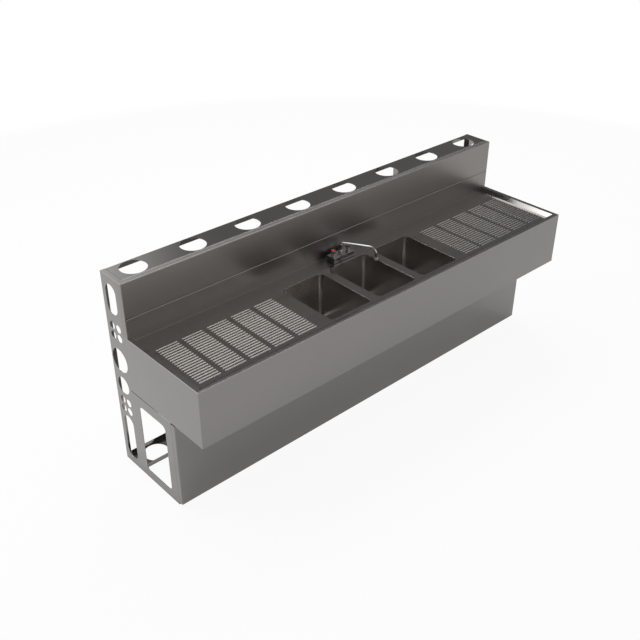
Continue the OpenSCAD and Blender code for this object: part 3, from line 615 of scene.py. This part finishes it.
def make_index(side, body, material):
    """Coloured cap: a short upright rim and a domed top."""
    low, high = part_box(side + "_index")
    radius = (high.x - low.x) / 2
    tall = high.z - low.z
    rim_h = INDEX_RIM_SHARE * tall
    rim_r = radius - INDEX_INSET
    profile = [(radius - INDEX_FOOT_INSET, 0), (rim_r, INDEX_FOOT_EDGE), (rim_r, rim_h)]
    for k in range(1, INDEX_STEPS):
        a = math.radians(90 * k / INDEX_STEPS)
        profile.append((rim_r * math.cos(a), rim_h + (tall - rim_h) * math.sin(a)))
    loops = turned_loops(profile, (*middle(low, high), low.z))
    verts, faces = skin_loops(loops, cap_ends=True)
    piece = mesh_piece("shaped_" + side + "_index", verts, faces, material, body)
    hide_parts(side + "_index")


# Collar: the foot with its groove is (distance in from the radius, height). The rest narrows to the spout
COLLAR_FOOT = ((0.0004, 0), (0, 0.0005), (0, 0.0030), (0.0008, 0.0036), (0.0008, 0.0042), (0, 0.0048))
COLLAR_SHOULDER_SHARE = 0.55
COLLAR_SLOPE_SHARE = 0.78
COLLAR_SLOPE_R = 0.0096
COLLAR_RIM_R = 0.0085
COLLAR_RIM_EDGE = 0.0008
COLLAR_TOP_R = 0.0078


def make_collar():
    """Collar round the foot of the spout, with a groove and a sloping shoulder."""
    low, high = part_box("spout_collar")
    radius = (high.x - low.x) / 2
    tall = high.z - low.z
    profile = [(radius - inward, up) for inward, up in COLLAR_FOOT]
    profile += [(radius, COLLAR_SHOULDER_SHARE * tall), (COLLAR_SLOPE_R, COLLAR_SLOPE_SHARE * tall)]
    profile += [(COLLAR_RIM_R, tall - COLLAR_RIM_EDGE), (COLLAR_TOP_R, tall)]
    loops = turned_loops(profile, (*middle(low, high), low.z))
    verts, faces = skin_loops(loops, cap_ends=True)
    piece = mesh_piece("shaped_spout_collar", verts, faces, CHROME, "root")
    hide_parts("spout_collar")


SPOUT_TURN = math.radians(-60)
SPOUT_R = 0.007
SPOUT_ELBOW_R = 0.013
SPOUT_BEND_R = 0.038
SPOUT_REACH = 0.186
SPOUT_OVERLAP = 0.005
SPOUT_SIDES = 40
ELBOW_STEPS = 10
BEND_STEPS = 16


def spout_path(low_z, run_z, end_z):
    """Centre line as (distance from the swivel, height, slope in degrees)."""
    points = [(0, low_z, 90), (0, run_z - SPOUT_ELBOW_R, 90)]
    for x, z in arc((SPOUT_ELBOW_R, run_z - SPOUT_ELBOW_R), SPOUT_ELBOW_R, 180, 90, ELBOW_STEPS)[1:]:
        slope = math.degrees(math.atan2(SPOUT_ELBOW_R - x, z - run_z + SPOUT_ELBOW_R))
        points.append((x, z, slope))
    bend_x = SPOUT_REACH - SPOUT_BEND_R
    for k in range(BEND_STEPS + 1):
        turn = 90 * k / BEND_STEPS
        a = math.radians(90 - turn)
        x = bend_x + SPOUT_BEND_R * math.cos(a)
        z = run_z - SPOUT_BEND_R + SPOUT_BEND_R * math.sin(a)
        points.append((x, z, -turn))
    points.append((SPOUT_REACH, end_z, -90))
    return points


def make_spout():
    """Round tube that rises from the swivel, runs level and turns down to the aerator."""
    low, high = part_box("spout")
    axis = middle(*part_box("tap_base"))
    ahead = (math.cos(SPOUT_TURN), math.sin(SPOUT_TURN))
    aside = (-ahead[1], ahead[0])
    run_z = high.z - SPOUT_R
    _, aerator_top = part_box("aerator")
    loops = []
    for reach, z, slope in spout_path(low.z, run_z, aerator_top.z - SPOUT_OVERLAP):
        lean = math.radians(slope)
        loop = []
        for k in range(SPOUT_SIDES):
            a = 2 * math.pi * k / SPOUT_SIDES
            out = reach - SPOUT_R * math.sin(lean) * math.cos(a)
            up = z + SPOUT_R * math.cos(lean) * math.cos(a)
            off = SPOUT_R * math.sin(a)
            x = axis[0] + ahead[0] * out + aside[0] * off
            y = axis[1] + ahead[1] * out + aside[1] * off
            loop.append((x, y, up))
        loops.append(loop)
    verts, faces = skin_loops(loops, cap_ends=True)
    piece = mesh_piece("shaped_spout", verts, faces, CHROME, "spout_arm")
    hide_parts("spout")


# Aerator: its edges are (distance in from the radius, distance from its lower or upper face)
KNURLS = 40
KNURL_DEPTH = 0.00025
KNURL_EDGE = 0.0002
KNURL_BAND = (0.28, 0.72)
AERATOR_SIDES = 160
AERATOR_WALL = 0.0015
SCREEN_DEPTH = 0.0025
BORE_EDGE_OUT = 0.0003
BORE_EDGE_UP = 0.0004
AERATOR_LOWER_EDGE = ((0.0012, 0), (0.0003, 0.0010), (0, 0.0018))
AERATOR_UPPER_EDGE = ((0, 0.0016), (0.0006, 0.0006), (0.0016, 0))
AERATOR_TOP_GAP = 0.0002


def make_aerator():
    """Knurled ring with plain rims, and a recessed screen plate below."""
    low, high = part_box("aerator")
    radius = min(high.x - low.x, high.y - low.y) / 2
    tall = high.z - low.z
    band = tuple(share * tall for share in KNURL_BAND)

    def knurled(angle, r, height):
        if band[0] < height < band[1]:
            return r - KNURL_DEPTH * (0.5 - 0.5 * math.cos(KNURLS * angle))
        return r

    bore = SPOUT_R - AERATOR_WALL
    profile = [(bore * 0.5, SCREEN_DEPTH), (bore, SCREEN_DEPTH)]
    profile += [(bore, BORE_EDGE_UP), (bore + BORE_EDGE_OUT, 0)]
    profile += [(radius - inward, up) for inward, up in AERATOR_LOWER_EDGE]
    profile += [(radius, band[0]), (radius, band[0] + KNURL_EDGE), (radius, band[1] - KNURL_EDGE)]
    profile.append((radius, band[1]))
    profile += [(radius - inward, tall - down) for inward, down in AERATOR_UPPER_EDGE]
    profile.append((SPOUT_R + AERATOR_TOP_GAP, tall))
    loops = turned_loops(profile, (*middle(low, high), low.z), AERATOR_SIDES, knurled)
    verts, faces = skin_loops(loops, cap_ends=True)
    piece = mesh_piece("shaped_aerator", verts, faces, LIT_SATIN_CHROME, "spout_arm")
    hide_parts("aerator")


def dress(material, *names):
    for name in names:
        slots = nodes[name].data.materials
        slots.clear()
        slots.append(material)


SIDES = ("left", "centre", "right")


def dress_cad():
    dress(FRAME_STEEL, "end_panel_left", "end_panel_right", "bulkhead_left", "bulkhead_right",
          "stiffener_left", "stiffener_right", "end_apron_left", "end_apron_right", "shank_washers")
    dress(PANEL_STEEL, "top_channel", "bottom_channel", "front_apron", "base_panel")
    dress(SPLASH_STEEL, "riser_panel", "backsplash")
    dress(DECK_STEEL, "bowl_deck", "drainboard_left", "drainboard_right")
    dress(CHROME, "tap_base", "spout", "spout_collar", "aerator", "hot_handle", "cold_handle",
          "hot_bonnet", "cold_bonnet")
    dress(BRASS, "hot_shank", "cold_shank", "hot_stem", "cold_stem", "shank_nuts")
    dress(RUBBER, "drain_gaskets", "tap_gasket")
    dress(RED, "hot_index")
    dress(BLUE, "cold_index")
    for side in SIDES:
        dress(BOWL_STEEL, "bowl_" + side)
        dress(CHROME, "drain_body_" + side, "strainer_" + side, "tailpiece_" + side)
        dress(BRASS, "drain_nut_" + side, "slip_nut_" + side)


# The floor is nearly white to the camera. Metal sees less of that white and more of its light and shadow
FLOOR_SIZE = 60.0
FLOOR_COLOUR = 0.80
FLOOR_ROUGHNESS = 0.6
FLOOR_SHINE = 0.1
WHITE_TO_CAMERA = 0.93
WHITE_TO_METAL = 0.36
PLAIN_FROM = 2.0
PLAIN_TO = 5.0


def pale_floor():
    """Plain pale finish that fades to white for the camera between PLAIN_FROM and PLAIN_TO."""
    material, tree, shader = new_material("floor")
    shader.inputs["Base Color"].default_value = (FLOOR_COLOUR, FLOOR_COLOUR, FLOOR_COLOUR, 1)
    shader.inputs["Roughness"].default_value = FLOOR_ROUGHNESS
    shader.inputs["Specular IOR Level"].default_value = FLOOR_SHINE
    glow = tree.nodes.new("ShaderNodeEmission")
    glow.inputs["Color"].default_value = (1, 1, 1, 1)
    ray = tree.nodes.new("ShaderNodeLightPath")
    camera = multiply(tree, ray.outputs["Is Camera Ray"], WHITE_TO_CAMERA)
    metal = multiply(tree, ray.outputs["Is Glossy Ray"], WHITE_TO_METAL)
    glass = multiply(tree, ray.outputs["Is Transmission Ray"], WHITE_TO_CAMERA)
    near = add(tree, add(tree, camera, metal), glass)
    coords = tree.nodes.new("ShaderNodeTexCoord")
    distance = tree.nodes.new("ShaderNodeVectorMath")
    distance.operation = "LENGTH"
    tree.links.new(coords.outputs["Object"], distance.inputs[0])
    fade = tree.nodes.new("ShaderNodeMapRange")
    fade.inputs["From Min"].default_value = PLAIN_FROM
    fade.inputs["From Max"].default_value = PLAIN_TO
    tree.links.new(distance.outputs["Value"], fade.inputs["Value"])
    far = multiply(tree, fade.outputs["Result"], ray.outputs["Is Camera Ray"])
    mix = tree.nodes.new("ShaderNodeMixShader")
    tree.links.new(larger(tree, near, far), mix.inputs["Fac"])
    tree.links.new(shader.outputs["BSDF"], mix.inputs[1])
    tree.links.new(glow.outputs["Emission"], mix.inputs[2])
    output = [node for node in tree.nodes if node.type == "OUTPUT_MATERIAL"][0]
    tree.links.new(mix.outputs["Shader"], output.inputs["Surface"])
    return material


def make_floor():
    mesh = bpy.data.meshes.new("floor")
    half = FLOOR_SIZE / 2
    corners = [(-half, -half, 0), (half, -half, 0), (half, half, 0), (-half, half, 0)]
    mesh.from_pydata(corners, [], [(0, 1, 2, 3)])
    floor = bpy.data.objects.new("floor", mesh)
    scene.collection.objects.link(floor)
    mesh.materials.append(pale_floor())


# Strength of the room that reflections show, by direction: x right, y back, z up. It isn't an even surround:
# its paler areas are fitted to the reflections in the photograph. Three lie in front on the right, and the
# brightest lies behind, from the left to a little right of the middle. To the camera the world is white
ROOM = 0.20
FRONT_RIGHT = 0.35
LOW_FRONT_RIGHT = 0.30
INNER_FRONT_RIGHT = 0.75
BACK_LEFT = 1.35
FRONT_Y = (0.1, -0.6)
RIGHT_X = (0.10, 0.34)
FRONT_Z = (0.66, 0.55)
LOW_FRONT_Z = (0.50, 0.42)
INNER_X = (0.62, 0.46)
INNER_Z = (0.62, 0.52)
BACK_Y = (0.2, 0.5)
BACK_X = (0.25, 0.10)
LOW_BACK_X = (0.50, 0.34)
LOW_BACK_Z = (0.58, 0.50)
HIGH_BACK_SHARE = 0.9


def room_strength(tree, x, y, z):
    """Brightness of the room by direction: the grey ground and its four paler areas."""
    corner = multiply(tree, ramp(tree, y, FRONT_Y), ramp(tree, x, RIGHT_X))
    front = multiply(tree, corner, ramp(tree, z, FRONT_Z))
    low_front = multiply(tree, corner, ramp(tree, z, LOW_FRONT_Z))
    inner_front = multiply(tree, corner, multiply(tree, ramp(tree, x, INNER_X), ramp(tree, z, INNER_Z)))
    low_back = multiply(tree, ramp(tree, x, LOW_BACK_X), ramp(tree, z, LOW_BACK_Z))
    high_back = multiply(tree, ramp(tree, x, BACK_X), HIGH_BACK_SHARE)
    back = multiply(tree, larger(tree, low_back, high_back), ramp(tree, y, BACK_Y))
    whole = math_node(tree, "MULTIPLY_ADD", front, FRONT_RIGHT, ROOM)
    whole = add(tree, whole, multiply(tree, back, BACK_LEFT))
    whole = add(tree, whole, multiply(tree, low_front, LOW_FRONT_RIGHT))
    return add(tree, whole, multiply(tree, inner_front, INNER_FRONT_RIGHT))


def make_world():
    world = bpy.data.worlds.new("world")
    scene.world = world
    world.use_nodes = True
    tree = world.node_tree
    coords = tree.nodes.new("ShaderNodeTexCoord")
    way = tree.nodes.new("ShaderNodeSeparateXYZ")
    tree.links.new(coords.outputs["Generated"], way.inputs["Vector"])
    whole = room_strength(tree, way.outputs["X"], way.outputs["Y"], way.outputs["Z"])
    ray = tree.nodes.new("ShaderNodeLightPath")
    seen = larger(tree, ray.outputs["Is Camera Ray"], ray.outputs["Is Transmission Ray"])
    unseen = math_node(tree, "SUBTRACT", 1.0, seen)
    background = tree.nodes["Background"]
    background.inputs["Color"].default_value = (1, 1, 1, 1)
    tree.links.new(add(tree, multiply(tree, whole, unseen), seen), background.inputs["Strength"])


# Lamps: name, x, y, size and radiance. All hang at one height
LAMP_HEIGHT = 4.5
LAMPS = (
    ("back_light", -0.13, 2.0, (7.75, 1.6), 3.5),
    ("top_light", -0.75, 0.0, (6.5, 2.4), 1.0),
    ("right_light", 4.65, 0.6, (1.5, 1.4), 1.65),
)


def soft_light(name, x, y, size, radiance):
    """Rectangular lamp that faces down and shows at the given radiance."""
    data = bpy.data.lights.new(name, "AREA")
    data.shape = "RECTANGLE"
    data.size, data.size_y = size
    data.energy = radiance * math.pi * size[0] * size[1]
    light = bpy.data.objects.new(name, data)
    scene.collection.objects.link(light)
    light.location = (x, y, LAMP_HEIGHT)


make_camera()
dress_cad()
for side in SIDES:
    make_bowl("bowl_" + side, "drain_body_" + side)
make_backsplash()
for name in ("end_panel_left", "end_panel_right", "end_apron_left", "end_apron_right"):
    make_sheet(name, FRAME_STEEL)
for name in ("top_channel", "front_apron", "base_panel"):
    make_sheet(name, PANEL_STEEL)
make_sheet("riser_panel", SPLASH_STEEL)
make_drainboard("drainboard_left", -1)
make_drainboard("drainboard_right", 1)
make_tap_base()
make_handle("hot", "hot_valve")
make_handle("cold", "cold_valve")
make_index("hot", "hot_valve", RED)
make_index("cold", "cold_valve", BLUE)
make_collar()
make_spout()
make_aerator()
make_floor()
make_world()
for lamp in LAMPS:
    soft_light(*lamp)
scene.view_settings.view_transform = "Standard"
